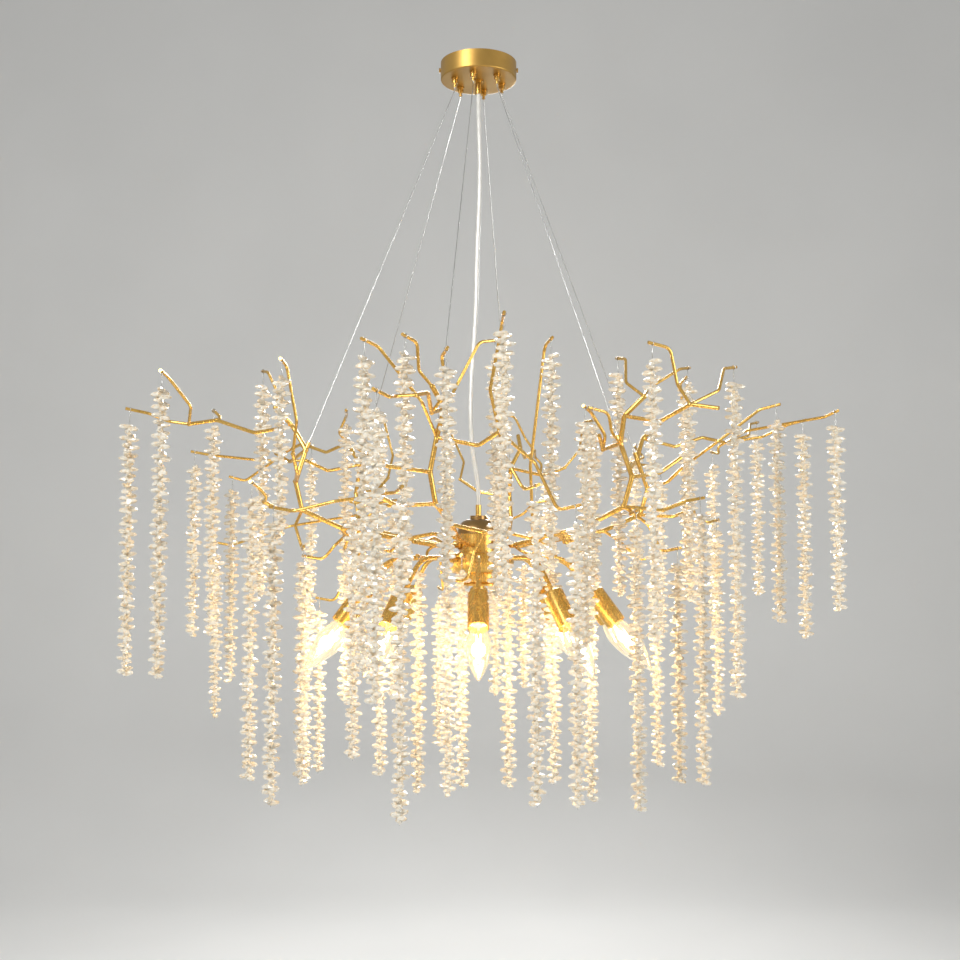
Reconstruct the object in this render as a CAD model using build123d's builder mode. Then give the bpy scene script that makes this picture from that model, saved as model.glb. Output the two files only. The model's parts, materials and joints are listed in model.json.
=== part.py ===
from build123d import *

import math
import os

# A branch chandelier held up by six steel wires. Millimetres, +Z up, -Y towards the viewer.
# The origin is the centre of the ceiling face. An azimuth is in degrees from the front (-Y),
# growing towards the right (+X). A height is counted from the hub's limb holes.

os.makedirs("parts", exist_ok=True)

# ---------------------------------------------------------------- driving dimensions
hub_drop = 765.0  # from the ceiling down to the limb holes in the hub ring
slip = 0.1  # radial room of a rod, stem or screw in its hole
seat = 0.3  # gap between curved faces that only lie against each other

# ceiling canopy and its bracket
canopy_radius = 60.0
canopy_height = 28.0
canopy_wall = 1.2
canopy_edge = 2.0  # rounding of the lower edge
strap_width = 24.0
strap_thickness = 2.0
strap_tab = 18.0  # how far the bent ends reach down
ceiling_screw_spacing = 70.0
ceiling_screw_hole = 2.6  # radius
side_screw_radius = 2.0
side_screw_drop = 11.0  # from the ceiling to the side screws
side_screw_length = 7.0
side_screw_head = 3.6  # radius
side_screw_head_height = 2.4

# three-way terminal block under the strap
block_length = 32.0
block_width = 17.0
block_height = 12.0
block_edge = 1.0  # rounding of the upright edges
block_poles = 3
block_pole_pitch = 9.5
block_wire_hole = 1.8
block_wire_depth = 6.0

# earth screw in the canopy floor
earth_x = -10.0
earth_y = -20.0
earth_radius = 1.5
earth_head_radius = 3.0
earth_head_height = 2.0
earth_length = 7.0

# wire grippers, one for each suspension wire
gripper_circle = 39.0
gripper_thread = 4.0
gripper_top = 8.0  # thread above the canopy's underside
gripper_flange = 5.8
gripper_flange_height = 3.0
gripper_barrel = 4.6
gripper_barrel_height = 6.0
gripper_nut_height = 3.0
gripper_nut_flats = 12.0
sleeve_radius = 2.0
sleeve_fit = 0.05
sleeve_inside = 3.0  # the part of the sleeve inside the barrel at rest
sleeve_outside = 6.0
sleeve_travel = 2.0  # pressed up to let the wire go
sleeve_end_room = 0.5  # left above the sleeve when it is pressed up
sleeve_collar = 2.7
sleeve_collar_height = 1.5

# suspension wires
wire_radius = 0.75
wire_room = 0.2
wire_tail = 3.0  # wire standing above the gripper's thread
wire_bend_drop = 4.0  # from the sleeve's mouth to the corner of the bend
wire_bend_radius = 12.0
ferrule_radius = 1.8
ferrule_length = 10.0
ferrule_bore_depth = 5.0
boss_radius = 3.2
boss_length = 12.0
boss_bore_depth = 5.0

# cord gland and power cord
gland_radius = 5.0
gland_length = 22.0
gland_flange = 8.0
gland_flange_height = 2.0
gland_bore = 2.4
gland_top = 8.0
gland_nut_height = 3.0
gland_nut_flats = 15.0
cord_radius = 3.5

# hub, heights from the limb holes
rod_radius = 4.5
rod_bore = 2.4
rod_top = 63.0
rod_bottom = -66.0
cap_radius = 32.0
cap_crown = 18.0  # radius of the step on the crown
cap_step = 13.0  # radius of the small top step
cap_step_height = 6.0
cap_bulge = 2.6  # how far the dome bulges past a straight cone
cap_height = 28.0
cap_brim = 5.0
cap_skin = 1.6
ring_radius = 30.0
ring_wall = 5.0
ring_top = 18.0
ring_bottom = -10.0
nut_flats = 11.0
nut_height = 3.0
tray_radius = 55.0
tray_wall = 4.0
tray_skin = 3.0
tray_rim = 13.0  # height of the rim that holds the arms
bowl_depth = 18.0
bowl_skin = 2.0
bowl_bulge = 4.0  # how far the bowl bulges past a straight cone
cup_radius = 30.0
cup_height = 18.0
cup_skin = 2.0
cup_lip = 3.0
finial_radius = 9.0
finial_height = 10.0

# lamps
lamp_count = 10
lamp_tilt = 37.0  # the holders lean outwards by this much
arm_radius = 3.5
arm_bend_radius = 50.0
arm_inside = 3.0  # from the tray's wall to an arm's inner end
holder_reach = 180.0  # distance from the axis to the middle of a holder's top
holder_height = -69.0
holder_radius = 15.0
holder_length = 60.0
holder_shoulder = 4.0
holder_wall = 1.5
holder_wire_hole = 2.0
socket_floor = 24.0  # thickness of the socket's closed end
socket_recess = 9.0  # from a holder's mouth to its socket's end
bulb_cap_radius = 6.9
bulb_neck_radius = 8.5
bulb_neck = 4.0
bulb_radius = 17.5
bulb_glass = 85.0  # glass that stands out of the holder
# Outline of the glass: share of its radius, then share of its length from the holder's mouth.
bulb_outline_shares = [(0.8, 0.12), (1, 0.36), (0.72, 0.7), (0.22, 0.95), (0, 1)]
bulb_flare = (0.4, 1)  # direction in which the glass leaves the neck

# branches
stem_radius = 3.5
branch_radius = 2.75
twig_radius = 2.2
knuckle = 0.5  # how much a joint stands proud of its branch
knuckle_flat = 0.45  # radius of a joint's flat ends as a share of its own
bend_radius = 14.0  # largest radius of a kink in a branch
bend_share = 0.45  # share of its shorter run that a corner may take up
limb_azimuths = (-72, -12, 48, 108, 168, 228)
limbs = range(len(limb_azimuths))
limb_hands = (1, -1, 1, -1, 1, -1)  # neighbouring limbs are mirror images
twig_straight = 26.0  # straight length before the strand's ring
twig_end = 7.0  # twig beyond the ring
twig_slope = 0.18  # rise of the straight end
twig_kink = 0.16  # sideways kink as a share of the twig's run
twig_sag = 0.12
twig_least_run = 45.0  # a twig starts at least this far from its strand

# crystal strands
ring_gap = 0.3  # between a strand's ring and its twig
ring_wire = 0.6  # radius of the ring's and hook's wire
hook_drop = 18.0  # from the twig's axis to the first chip
chip_pitch = 12.0
chip_reach_top = 16.0  # radius over the chips' points at the top of a strand
chip_reach_bottom = 12.8
chip_root = 0.42  # root radius as a share of the reach

# ---------------------------------------------------------------- shape of one limb
# Each run: tube radius, then (distance from the axis, degrees off the limb, height).
limb_runs = {
    "stem": (
        stem_radius,
        [
            (24.5, 0, 0),
            (70, 0, 0),
            (120, 2, 8),
            (214, -2, 25),
            (275, 0, 51),
            (286, 1, 93),
            (270, 0, 141),
            (288, -3, 177),
            (315, -1, 203),
        ],
    ),
    "outer": (branch_radius, [(288, -3, 177), (345, -2, 165), (400, -3, 183), (440, -2, 175)]),
    "left": (branch_radius, [(270, 0, 141), (290, -12, 127), (315, -17, 143)]),
    "right": (branch_radius, [(286, 1, 93), (300, 12, 101), (322, 18, 125)]),
    "low left": (branch_radius, [(214, -2, 25), (205, -14, 15), (190, -24, 8)]),
    "low right": (branch_radius, [(120, 2, 8), (140, 16, 15), (165, 26, 8)]),
    "low outer": (branch_radius, [(275, 0, 51), (315, 8, 47), (345, 10, 59)]),
}
wire_joint = 6  # the point of the stem that a wire holds
stem_joints = (2, 3, 4, 5, wire_joint)  # points of the stem with a swollen joint

# ---------------------------------------------------------------- strands
# For each limb: x, y, height of the first chip, length over the chips, and where it matters
# the branch point that the twig starts from. A strand marked swing has a hinge of its own.
swing = "swing"
strands = {
    0: [
        (-501, -150, 175, 365, swing),
        (-436, -230, 217, 404, swing),
        (-400, -60, 184, 321, swing),
        (-313, -215, 65, 390, swing),
        (-331, -30, 249, 330),
        (-268, -250, 230, 225),
        (-250, -150, -23, 320),
        (-262, -30, -35, 320),
        (-205, 0, -20, 221),
        (-141, -120, -25, 310),
        (-89, -65, -35, 334),
    ],
    1: [
        (-118, -500, 153, 345, swing),
        (-263, -330, 25, 363, swing),
        (-41, -215, -68, 279, swing),
        (-143, -380, 234, 400, ("stem", 6)),
        (-93, -360, 243, 300),
        (-39, -420, 215, 270),
        (32, -400, 263, 330, ("left", 2)),
        (23, -240, 259, 345),
        (-94, -420, 45, 388),
        (-166, -265, 35, 325),
        (-24, -115, -35, 316),
        (43, -133, -35, 314),
        (72, -380, 50, 379),
        (123, -370, 25, 359, ("left", 2)),
    ],
    2: [
        (99, -250, 259, 300, swing, ("low left", 2)),
        (216, -230, 25, 389, swing),
        (358, -200, 228, 444),
        (141, -300, 159, 300),
        (160, -200, 170, 230),
        (204, -132, 252, 330),
        (231, -300, 244, 380),
        (310, -100, 243, 330),
        (109, -100, -35, 314),
        (161, -120, -25, 345),
        (284, -150, -25, 315),
        (312, -180, 45, 383),
    ],
    3: [
        (488, 250, 202, 287, swing),
        (520, 60, 183, 332, swing),
        (522, -120, 175, 275, swing, ("outer", 3)),
        (401, 200, 145, 300, swing),
        (445, -80, 190, 308),
        (318, -30, 238, 300),
        (281, 300, 167, 300),
        (181, 100, -25, 230),
        (281, 50, -35, 312),
        (387, 100, 25, 299),
        (330, 330, 125, 280),
    ],
    4: [
        (42, 400, 235, 320, swing),
        (125, 380, 125, 330, swing),
        (-59, 420, 205, 330),
        (-69, 250, -87, 257),
        (27, 145, -25, 222),
        (77, 200, -25, 215),
        (207, 330, 215, 300),
        (120, 250, 65, 300),
        (-30, 320, -15, 300),
    ],
    5: [
        (-468, 120, 138, 288, swing),
        (-463, 280, -8, 292, swing),
        (-180, 360, 225, 300, swing),
        (-421, 200, 102, 332),
        (-217, 100, 204, 300),
        (-264, 150, -103, 270, ("stem", 3)),
        (-150, 250, 65, 330),
        (-300, 300, 165, 300),
    ],
}

# ---------------------------------------------------------------- places worked out
canopy_floor = -canopy_height
barrel_end = canopy_floor - gripper_flange_height - gripper_barrel_height
sleeve_top = barrel_end + sleeve_inside
sleeve_mouth = barrel_end - sleeve_outside
gland_mouth = canopy_floor - gland_length
rod_top_level = rod_top - hub_drop
cord_route = [
    (0, 0, gland_mouth),
    (0, 0, -90),
    (2.5, -2, -150),
    (1.5, -3, -225),
    (-2.5, 0, -305),
    (-3.5, 3, -380),
    (-7, 4, -445),
    (-12, 2, -510),
    (-12.5, -2, -580),
    (-8, -3, -630),
    (0, 0, -668),
    (0, 0, rod_top_level),
]


def outward(azimuth):
    """Unit vector away from the axis at an azimuth."""
    turn = math.radians(azimuth)
    return Vector(math.sin(turn), -math.cos(turn), 0)


def place(distance, azimuth, height):
    """Point at a distance from the axis and a height above the limb holes."""
    return outward(azimuth) * distance + Vector(0, 0, height - hub_drop)


def limb_point(limb, run, index):
    """Point of a limb's run, turned and mirrored to where that limb stands."""
    distance, aside, height = limb_runs[run][1][index]
    return place(distance, limb_azimuths[limb] + limb_hands[limb] * aside, height)


def run_direction(limb, run, index):
    """Direction of a limb's run at one of its points."""
    last = len(limb_runs[run][1]) - 1
    before = limb_point(limb, run, max(0, index - 1))
    after = limb_point(limb, run, min(last, index + 1))
    return (after - before).normalized()


def twig_start(limb, ring):
    """Nearest point of the limb that leaves the twig room; growing downwards costs more."""
    best = None
    for run, (_, points) in limb_runs.items():
        for index in range(1 if run == "stem" else 0, len(points)):
            point = limb_point(limb, run, index)
            way = ring - point
            if math.hypot(way.X, way.Y) < twig_least_run:
                continue
            cost = way.length + max(0, -way.Z) / 2
            if best is None or cost < best[0]:
                best = (cost, run, index)
    return best[1:]


def twig_route(limb, strand, order):
    """Points of the twig that carries a strand, and the direction of its straight end."""
    x, y, height, length, *rest = strand
    ring = Vector(x, y, height + hook_drop - hub_drop)
    run, index = next((item for item in rest if item != swing), twig_start(limb, ring))
    start = limb_point(limb, run, index)
    way = ring - start
    flat = Vector(way.X, way.Y, 0)
    ahead = flat.normalized()
    aside = Vector(-ahead.Y, ahead.X, 0)
    slope = (ahead + Vector(0, 0, twig_slope)).normalized()
    bend = ring - slope * twig_straight
    tip = ring + slope * twig_end
    hand = 1 if order % 2 else -1
    sag = twig_sag * abs(way.Z) * (1 if way.Z > 0 else -1)
    knee = start + (bend - start) * 0.5 + aside * (hand * twig_kink * flat.length) - Vector(0, 0, sag)
    return [start, knee, bend, tip], slope, (run, index)


# ---------------------------------------------------------------- solids
def save(builder, name):
    """Labels a finished piece and writes it."""
    builder.part.label = name
    export_step(builder.part, f"parts/{name}.step")


def turned(points, base=0.0, plane=Plane.XZ, axis=Axis.Z):
    """Adds the solid of revolution of an outline given as (radius, height over base)."""
    with BuildSketch(plane) as outline:
        with BuildLine():
            Polyline(*[(radius, base + height) for radius, height in points], close=True)
        make_face()
    revolve(outline.sketch, axis=axis)


def rod(start, end, radius, mode=Mode.ADD):
    """Adds or cuts a straight round rod between two points."""
    way = end - start
    with BuildSketch(Plane(origin=start, z_dir=way)) as section:
        Circle(radius)
    extrude(section.sketch, amount=way.length, mode=mode)


def bend_radii(points, largest):
    """Radius of each corner of a route: as large as its two runs allow, up to a limit."""
    radii = []
    for before, corner, after in zip(points, points[1:], points[2:]):
        first = Vector(*corner) - Vector(*before)
        second = Vector(*after) - Vector(*corner)
        half_turn = math.radians(first.get_angle(second)) / 2
        shorter = min(first.length, second.length)
        radii.append(min(largest, bend_share * shorter / math.tan(half_turn)))
    return radii


def tube(points, radius, largest=bend_radius):
    """Adds a round rod along a route, its corners rounded."""
    corners = [tuple(Vector(*point)) for point in points]
    radii = bend_radii(corners, largest)
    with BuildLine() as route:
        FilletPolyline(*corners, radius=radii)
    path = route.wires()[0]
    with BuildSketch(Plane(origin=path @ 0, z_dir=path % 0)) as section:
        Circle(radius)
    sweep(section.sketch, path=path)
    return radii, path.length


def ball(middle, along, radius):
    """Adds a ball with small flat ends, its axis along the rod that it sits on."""
    across = Plane(origin=middle, z_dir=along).x_dir
    flat = radius * knuckle_flat
    half = math.sqrt(radius**2 - flat**2)
    with BuildSketch(Plane(origin=middle, x_dir=across, z_dir=across.cross(along))) as outline:
        with BuildLine():
            ThreePointArc((flat, -half), (radius, 0), (flat, half))
            Polyline((flat, half), (0, half), (0, -half), (flat, -half))
        make_face()
    revolve(outline.sketch, axis=Axis(middle, along))


# Ceiling bracket: a strap with bent ends that the canopy hangs on by two side screws.
strap_reach = canopy_radius - canopy_wall - seat
with BuildPart() as bracket:
    with BuildSketch():
        Rectangle(2 * strap_reach, strap_width)
    extrude(amount=-strap_thickness)
    with BuildSketch():
        with GridLocations(2 * strap_reach - strap_thickness, 0, 2, 1):
            Rectangle(strap_thickness, strap_width)
    extrude(amount=-strap_tab)
    with BuildSketch():
        Circle(strap_reach)
    extrude(amount=-strap_tab, mode=Mode.INTERSECT)
    with BuildSketch():
        with GridLocations(ceiling_screw_spacing, 0, 2, 1):
            Circle(ceiling_screw_hole)
    extrude(amount=-strap_thickness, mode=Mode.SUBTRACT)
    with BuildSketch(Plane.YZ):
        with Locations((0, -side_screw_drop)):
            Circle(side_screw_radius + slip)
    extrude(amount=strap_reach, both=True, mode=Mode.SUBTRACT)
save(bracket, "ceiling_bracket")

# Canopy: a spun cup with holes for the grippers, the gland, the earth screw and side screws.
canopy_inside = canopy_radius - canopy_wall
with BuildPart() as canopy:
    with BuildSketch():
        Circle(canopy_radius)
    extrude(amount=canopy_floor)
    fillet(canopy.edges().group_by(Axis.Z)[0], radius=canopy_edge)
    with BuildSketch():
        Circle(canopy_inside)
    extrude(amount=canopy_floor + canopy_wall, mode=Mode.SUBTRACT)
    with BuildSketch(Plane.XY.offset(canopy_floor)):
        for azimuth in limb_azimuths:
            with Locations(outward(azimuth) * gripper_circle):
                Circle(gripper_thread + slip)
        Circle(gland_radius + slip)
        with Locations((earth_x, earth_y)):
            Circle(earth_radius + slip)
    extrude(amount=canopy_wall, mode=Mode.SUBTRACT)
    with BuildSketch(Plane.YZ):
        with Locations((0, -side_screw_drop)):
            Circle(side_screw_radius + slip)
    extrude(amount=canopy_radius, both=True, mode=Mode.SUBTRACT)
save(canopy, "canopy")

# Side screws with round heads, one at each end of the strap.
with BuildPart() as side_screws:
    for side in (-1, 1):
        head = canopy_radius + seat
        middle = Vector(side * head, 0, -side_screw_drop)
        tip = Vector(side * (head - side_screw_length), 0, -side_screw_drop)
        crown = Vector(side * (head + side_screw_head_height), 0, -side_screw_drop)
        rod(middle, tip, side_screw_radius)
        rod(middle, crown, side_screw_head)
save(side_screws, "canopy_screws")

# Terminal block under the strap, with a wire hole at both ends of each pole.
with BuildPart() as block:
    with BuildSketch(Plane.XY.offset(-strap_thickness)):
        Rectangle(block_length, block_width)
    extrude(amount=-block_height)
    fillet(block.edges().filter_by(Axis.Z), radius=block_edge)
    with BuildSketch(Plane.XZ.offset(block_width / 2)):
        with Locations((0, -strap_thickness - block_height / 2)):
            with GridLocations(block_pole_pitch, 0, block_poles, 1):
                Circle(block_wire_hole)
    extrude(amount=-block_wire_depth, mode=Mode.SUBTRACT)
    with BuildSketch(Plane.XZ.offset(-block_width / 2)):
        with Locations((0, -strap_thickness - block_height / 2)):
            with GridLocations(block_pole_pitch, 0, block_poles, 1):
                Circle(block_wire_hole)
    extrude(amount=block_wire_depth, mode=Mode.SUBTRACT)
save(block, "terminal_block")

# Earth screw, its pan head under the canopy floor.
with BuildPart() as earth_screw:
    head_top = Vector(earth_x, earth_y, canopy_floor)
    rod(head_top, head_top - Vector(0, 0, earth_head_height), earth_head_radius)
    rod(head_top, head_top + Vector(0, 0, earth_length), earth_radius)
save(earth_screw, "earth_screw")

# Wire grippers: thread, flange and barrel, bored for the wire and for the release sleeve.
wire_bore = wire_radius + wire_room
sleeve_bore_depth = sleeve_inside + sleeve_travel + sleeve_end_room
gripper_thread_top = canopy_floor + gripper_top
with BuildPart() as grippers:
    for azimuth in limb_azimuths:
        middle = outward(azimuth) * gripper_circle
        foot = middle + Vector(0, 0, barrel_end)
        flange = middle + Vector(0, 0, canopy_floor - gripper_flange_height)
        rod(foot, middle + Vector(0, 0, canopy_floor), gripper_barrel)
        rod(flange, middle + Vector(0, 0, canopy_floor), gripper_flange)
        rod(flange, middle + Vector(0, 0, gripper_thread_top), gripper_thread)
        rod(foot, middle + Vector(0, 0, gripper_thread_top), wire_bore, Mode.SUBTRACT)
        rod(foot, foot + Vector(0, 0, sleeve_bore_depth), sleeve_radius + sleeve_fit, Mode.SUBTRACT)
save(grippers, "wire_grippers")

floor_inside = canopy_floor + canopy_wall
with BuildPart() as gripper_nuts:
    with BuildSketch(Plane.XY.offset(floor_inside)):
        for azimuth in limb_azimuths:
            with Locations(outward(azimuth) * gripper_circle):
                RegularPolygon(gripper_nut_flats / 2, 6, major_radius=False)
                Circle(gripper_thread + slip, mode=Mode.SUBTRACT)
    extrude(amount=gripper_nut_height)
save(gripper_nuts, "gripper_nuts")

for number, azimuth in enumerate(limb_azimuths, start=1):
    middle = outward(azimuth) * gripper_circle
    mouth = middle + Vector(0, 0, sleeve_mouth)
    top = middle + Vector(0, 0, sleeve_top)
    with BuildPart() as sleeve:
        rod(mouth, top, sleeve_radius)
        rod(mouth, mouth + Vector(0, 0, sleeve_collar_height), sleeve_collar)
        rod(mouth, top, wire_bore, Mode.SUBTRACT)
    save(sleeve, f"release_sleeve_{number}")


def wire_way(limb):
    """The joint a wire holds, and the unit vector from there up the wire."""
    joint = limb_point(limb, "stem", wire_joint)
    corner = outward(limb_azimuths[limb]) * gripper_circle
    corner = corner + Vector(0, 0, sleeve_mouth - wire_bend_drop)
    return joint, corner, (corner - joint).normalized()


# Suspension wires: upright in the gripper, then straight to the ferrule on the limb.
ferrule_foot = boss_length - boss_bore_depth
wire_end = ferrule_foot + ferrule_length - ferrule_bore_depth
with BuildPart() as wires:
    for limb in limbs:
        joint, corner, up_wire = wire_way(limb)
        top = Vector(corner.X, corner.Y, gripper_thread_top + wire_tail)
        tube([top, corner, joint + up_wire * wire_end], wire_radius, wire_bend_radius)
save(wires, "suspension_wires")

with BuildPart() as ferrules:
    for limb in limbs:
        joint, corner, up_wire = wire_way(limb)
        foot = joint + up_wire * ferrule_foot
        crown = foot + up_wire * ferrule_length
        rod(foot, crown, ferrule_radius)
        rod(crown - up_wire * ferrule_bore_depth, crown, wire_radius + slip, Mode.SUBTRACT)
save(ferrules, "wire_ferrules")

# Cord gland through the middle of the canopy floor, and its nut.
with BuildPart() as gland:
    with BuildSketch(Plane.XY.offset(gland_mouth)):
        Circle(gland_radius)
    extrude(amount=gland_length + gland_top)
    with BuildSketch(Plane.XY.offset(canopy_floor)):
        Circle(gland_flange)
    extrude(amount=-gland_flange_height)
    with BuildSketch(Plane.XY.offset(gland_mouth)):
        Circle(gland_bore)
    extrude(amount=gland_length + gland_top, mode=Mode.SUBTRACT)
save(gland, "cord_gland")

with BuildPart() as gland_nut:
    with BuildSketch(Plane.XY.offset(floor_inside)):
        RegularPolygon(gland_nut_flats / 2, 6, major_radius=False)
        Circle(gland_radius + slip, mode=Mode.SUBTRACT)
    extrude(amount=gland_nut_height)
save(gland_nut, "gland_nut")

# Power cord: a slack round lead from the gland to the hub rod.
with BuildPart() as cord:
    cord_radii, cord_length = tube(cord_route, cord_radius, math.inf)
print("cord corner radii", [round(radius) for radius in cord_radii], "mm")
print("cord length", round(cord_length, 1), "mm, volume against section times length",
      round(cord.part.volume / (math.pi * cord_radius**2 * cord_length), 5))
save(cord, "power_cord")

# Hub: a threaded tube that clamps the turned shells together.
hub_room = rod_radius + slip
tray_bottom = ring_bottom - tray_skin - tray_rim
bowl_bottom = tray_bottom - bowl_depth
cup_bottom = bowl_bottom - cup_height
arm_level = tray_bottom + tray_rim / 2
with BuildPart() as hub_rod:
    turned([(rod_bore, rod_bottom), (rod_radius, rod_bottom), (rod_radius, rod_top),
            (rod_bore, rod_top)], -hub_drop)
save(hub_rod, "hub_rod")

with BuildPart() as hub_cap:
    with BuildSketch(Plane.XZ) as cap_outline:
        with BuildLine():
            base = ring_top - hub_drop
            crown = base + cap_height
            step = crown - cap_step_height
            middle = ((cap_radius + cap_crown) / 2 + cap_bulge, (base + cap_brim + step) / 2 + cap_bulge)
            Line((cap_radius, base), (cap_radius, base + cap_brim))
            ThreePointArc((cap_radius, base + cap_brim), middle, (cap_crown, step))
            Polyline((cap_crown, step), (cap_step, step), (cap_step, crown), (hub_room, crown),
                     (hub_room, step - cap_skin), (cap_crown - cap_skin, step - cap_skin),
                     (cap_radius - cap_skin, base + cap_brim), (cap_radius - cap_skin, base),
                     (cap_radius, base))
        make_face()
    revolve(cap_outline.sketch, axis=Axis.Z)
save(hub_cap, "hub_cap")

with BuildPart() as hub_ring:
    inner = ring_radius - ring_wall
    turned([(inner, ring_bottom), (ring_radius, ring_bottom), (ring_radius, ring_top),
            (inner, ring_top)], -hub_drop)
    for azimuth in limb_azimuths:
        rod(place(0, azimuth, 0), place(ring_radius + ring_wall, azimuth, 0),
            stem_radius + slip, Mode.SUBTRACT)
save(hub_ring, "hub_ring")

with BuildPart() as limb_nuts:
    for azimuth in limb_azimuths:
        face = place(ring_radius + seat, azimuth, 0)
        with BuildSketch(Plane(origin=face, x_dir=(0, 0, 1), z_dir=outward(azimuth))) as hexagon:
            RegularPolygon(nut_flats / 2, 6, major_radius=False)
            Circle(stem_radius + slip, mode=Mode.SUBTRACT)
        extrude(hexagon.sketch, amount=nut_height)
save(limb_nuts, "limb_nuts")

with BuildPart() as hub_tray:
    under = ring_bottom - tray_skin
    turned([(hub_room, ring_bottom), (ring_radius, ring_bottom), (tray_radius, under),
            (tray_radius, tray_bottom), (tray_radius - tray_wall, tray_bottom),
            (tray_radius - tray_wall, under - tray_skin), (ring_radius, under),
            (hub_room, under)], -hub_drop)
    for index in range(lamp_count):
        azimuth = index * 360 / lamp_count
        rod(place(ring_radius, azimuth, arm_level), place(tray_radius + tray_wall, azimuth, arm_level),
            arm_radius + slip, Mode.SUBTRACT)
save(hub_tray, "hub_tray")

with BuildPart() as hub_bowl:
    with BuildSketch(Plane.XZ) as bowl_outline:
        with BuildLine():
            top = tray_bottom - hub_drop
            foot = bowl_bottom - hub_drop
            rim_inside = tray_radius - bowl_skin
            foot_inside = cup_radius - 2 * bowl_skin
            belly = ((tray_radius + cup_radius) / 2 + bowl_bulge, (top + foot) / 2 - bowl_bulge)
            belly_inside = (belly[0] - 2 * bowl_skin, belly[1] + bowl_skin)
            ThreePointArc((tray_radius, top), belly, (cup_radius, foot))
            Polyline((cup_radius, foot), (foot_inside, foot), (foot_inside, foot + bowl_skin))
            ThreePointArc((foot_inside, foot + bowl_skin), belly_inside, (rim_inside, top))
            Line((rim_inside, top), (tray_radius, top))
        make_face()
    revolve(bowl_outline.sketch, axis=Axis.Z)
save(hub_bowl, "hub_bowl")

with BuildPart() as hub_cup:
    inner = cup_radius - cup_skin
    turned([(inner, bowl_bottom), (cup_radius, bowl_bottom), (cup_radius, cup_bottom + 2 * cup_lip),
            (cup_radius + cup_lip, cup_bottom + cup_lip), (cup_radius + cup_lip, cup_bottom),
            (hub_room, cup_bottom), (hub_room, cup_bottom + cup_skin),
            (inner, cup_bottom + cup_skin)], -hub_drop)
save(hub_cup, "hub_cup")

with BuildPart() as finial:
    bore_end = rod_bottom - seat
    turned([(hub_room, cup_bottom), (finial_radius, cup_bottom),
            (finial_radius, cup_bottom - finial_height / 2), (finial_radius / 2, cup_bottom - finial_height),
            (0, cup_bottom - finial_height), (0, bore_end), (hub_room, bore_end)], -hub_drop)
save(finial, "hub_finial")

# Lamps. Each is drawn in a plane through the axis, along the lamp's own tilted axis.
tilt = math.radians(lamp_tilt)


def lamp_frame(azimuth):
    """Middle of a holder's top, the direction down the lamp, and the plane of its outlines."""
    top = place(holder_reach, azimuth, holder_height)
    down = outward(azimuth) * math.sin(tilt) - Vector(0, 0, math.cos(tilt))
    across = outward(azimuth) * math.cos(tilt) + Vector(0, 0, math.sin(tilt))
    return top, down, Plane(origin=top, x_dir=across, z_dir=across.cross(down))


lamp_azimuths = [index * 360 / lamp_count for index in range(lamp_count)]
arm_start = tray_radius - tray_wall - arm_inside
arm_elbow = holder_reach - (arm_level - holder_height) * math.tan(tilt)
with BuildPart() as arms:
    for azimuth in lamp_azimuths:
        top, down, plane = lamp_frame(azimuth)
        tube([place(arm_start, azimuth, arm_level), place(arm_elbow, azimuth, arm_level), top],
             arm_radius, arm_bend_radius)
save(arms, "lamp_arms")

holder_inside = holder_radius - holder_wall
roof = 2 * holder_wall
with BuildPart() as holders:
    for azimuth in lamp_azimuths:
        top, down, plane = lamp_frame(azimuth)
        shoulder = holder_radius - holder_shoulder
        turned([(holder_wire_hole, 0), (shoulder, 0), (holder_radius, holder_shoulder),
                (holder_radius, holder_length), (holder_inside, holder_length),
                (holder_inside, holder_shoulder + roof), (shoulder, roof), (holder_wire_hole, roof)],
               plane=plane, axis=Axis(top, down))
save(holders, "lamp_holders")

socket_radius = holder_inside - seat
socket_bore = bulb_cap_radius + seat
socket_end = holder_length - socket_recess
with BuildPart() as sockets:
    for azimuth in lamp_azimuths:
        top, down, plane = lamp_frame(azimuth)
        shoulder = holder_radius - holder_shoulder - seat
        turned([(0, roof), (shoulder, roof), (socket_radius, holder_shoulder + roof + seat),
                (socket_radius, socket_end), (socket_bore, socket_end),
                (socket_bore, roof + socket_floor), (0, roof + socket_floor)],
               plane=plane, axis=Axis(top, down))
save(sockets, "lamp_sockets")

# Candle bulbs: a screw cap in the socket, a flared neck and a pointed glass.
bulb_tip = holder_length + bulb_glass
with BuildPart() as bulbs:
    for azimuth in lamp_azimuths:
        top, down, plane = lamp_frame(azimuth)
        with BuildSketch(plane) as bulb_outline:
            with BuildLine():
                cap_end = socket_end
                neck_end = cap_end + bulb_neck
                Polyline((0, bulb_tip), (0, roof + socket_floor), (bulb_cap_radius, roof + socket_floor),
                         (bulb_cap_radius, cap_end), (bulb_neck_radius, neck_end))
                Spline((bulb_neck_radius, neck_end),
                       *[(wide * bulb_radius, holder_length + far * bulb_glass)
                         for wide, far in bulb_outline_shares],
                       tangents=(bulb_flare, (-1, 0)))
            make_face()
        revolve(bulb_outline.sketch, axis=Axis(top, down))
save(bulbs, "bulbs")

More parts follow.
